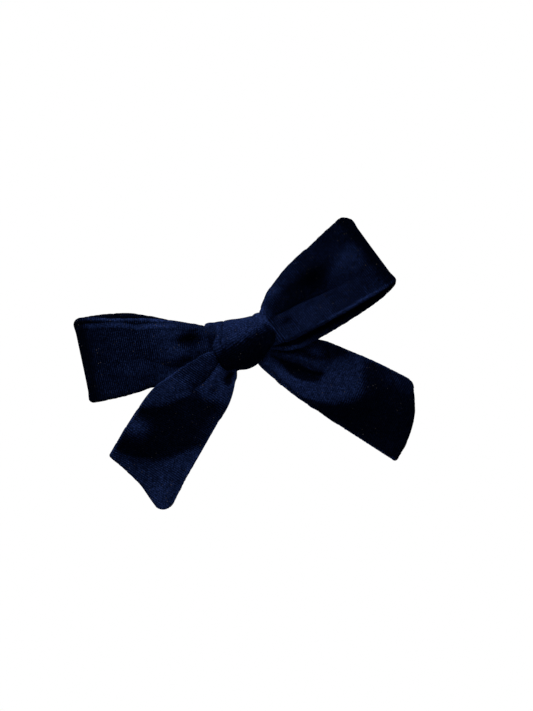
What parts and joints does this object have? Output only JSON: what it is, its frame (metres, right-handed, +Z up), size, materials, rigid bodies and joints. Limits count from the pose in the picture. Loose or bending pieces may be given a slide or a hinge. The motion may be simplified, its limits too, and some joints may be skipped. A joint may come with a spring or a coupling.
{
  "type": "hair bow",
  "caption": "Hand-tied velvet hair bow with flat soft loops, hanging tails and a wrapped knot, glued to a ribbon-lined spring alligator clip.",
  "frame": {"origin": "on the outer face of the clip's gripping arm, straight behind the middle of the knot", "axes": "+X to the right of someone facing the bow, +Y from the bow towards the head, +Z up"},
  "size_m": [0.1109, 0.0259, 0.085],
  "materials": {
    "velvet": "dark navy stretch velvet with fine cross ribs",
    "grosgrain": "navy grosgrain ribbon",
    "clip_steel": "nickel-plated spring steel",
    "spring_wire": "drawn spring wire",
    "hot_melt": "clear hot-melt glue"
  },
  "bodies": {
    "bow": {"left_loop": "velvet", "right_loop": "velvet", "knot_wrap": "velvet", "knot_core": "velvet", "glue_pad": "hot_melt", "clip_lining": "grosgrain", "clip_top_arm": "clip_steel", "clip_pivot_pin": "clip_steel", "clip_spring": "spring_wire"},
    "clip_jaw": {"clip_bottom_arm": "clip_steel"},
    "left_tail_end": {"left_tail": "velvet"},
    "right_tail_end": {"right_tail": "velvet"}
  },
  "joints": [
    {"name": "jaw_open", "type": "hinge", "parent": "bow", "child": "clip_jaw", "pos_m": [-0.011, -0.0025, 0], "axis": [0, 0, 1], "range_deg": [0, 22], "stiffness_Nm_per_rad": 0.15, "springref_deg": -20.05, "deforming": ["clip_spring"]},
    {"name": "left_tail_lift", "type": "hinge", "parent": "bow", "child": "left_tail_end", "pos_m": [-0.00877, -0.01715, -0.00544], "axis": [-0.6508, 0, 0.7593], "range_deg": [0, 35], "stiffness_Nm_per_rad": 0.0008},
    {"name": "right_tail_swing", "type": "hinge", "parent": "bow", "child": "right_tail_end", "pos_m": [0.00841, -0.0121, -0.00719], "axis": [0.7266, 0, 0.6871], "range_deg": [0, 11], "stiffness_Nm_per_rad": 0.0008}
  ]
}
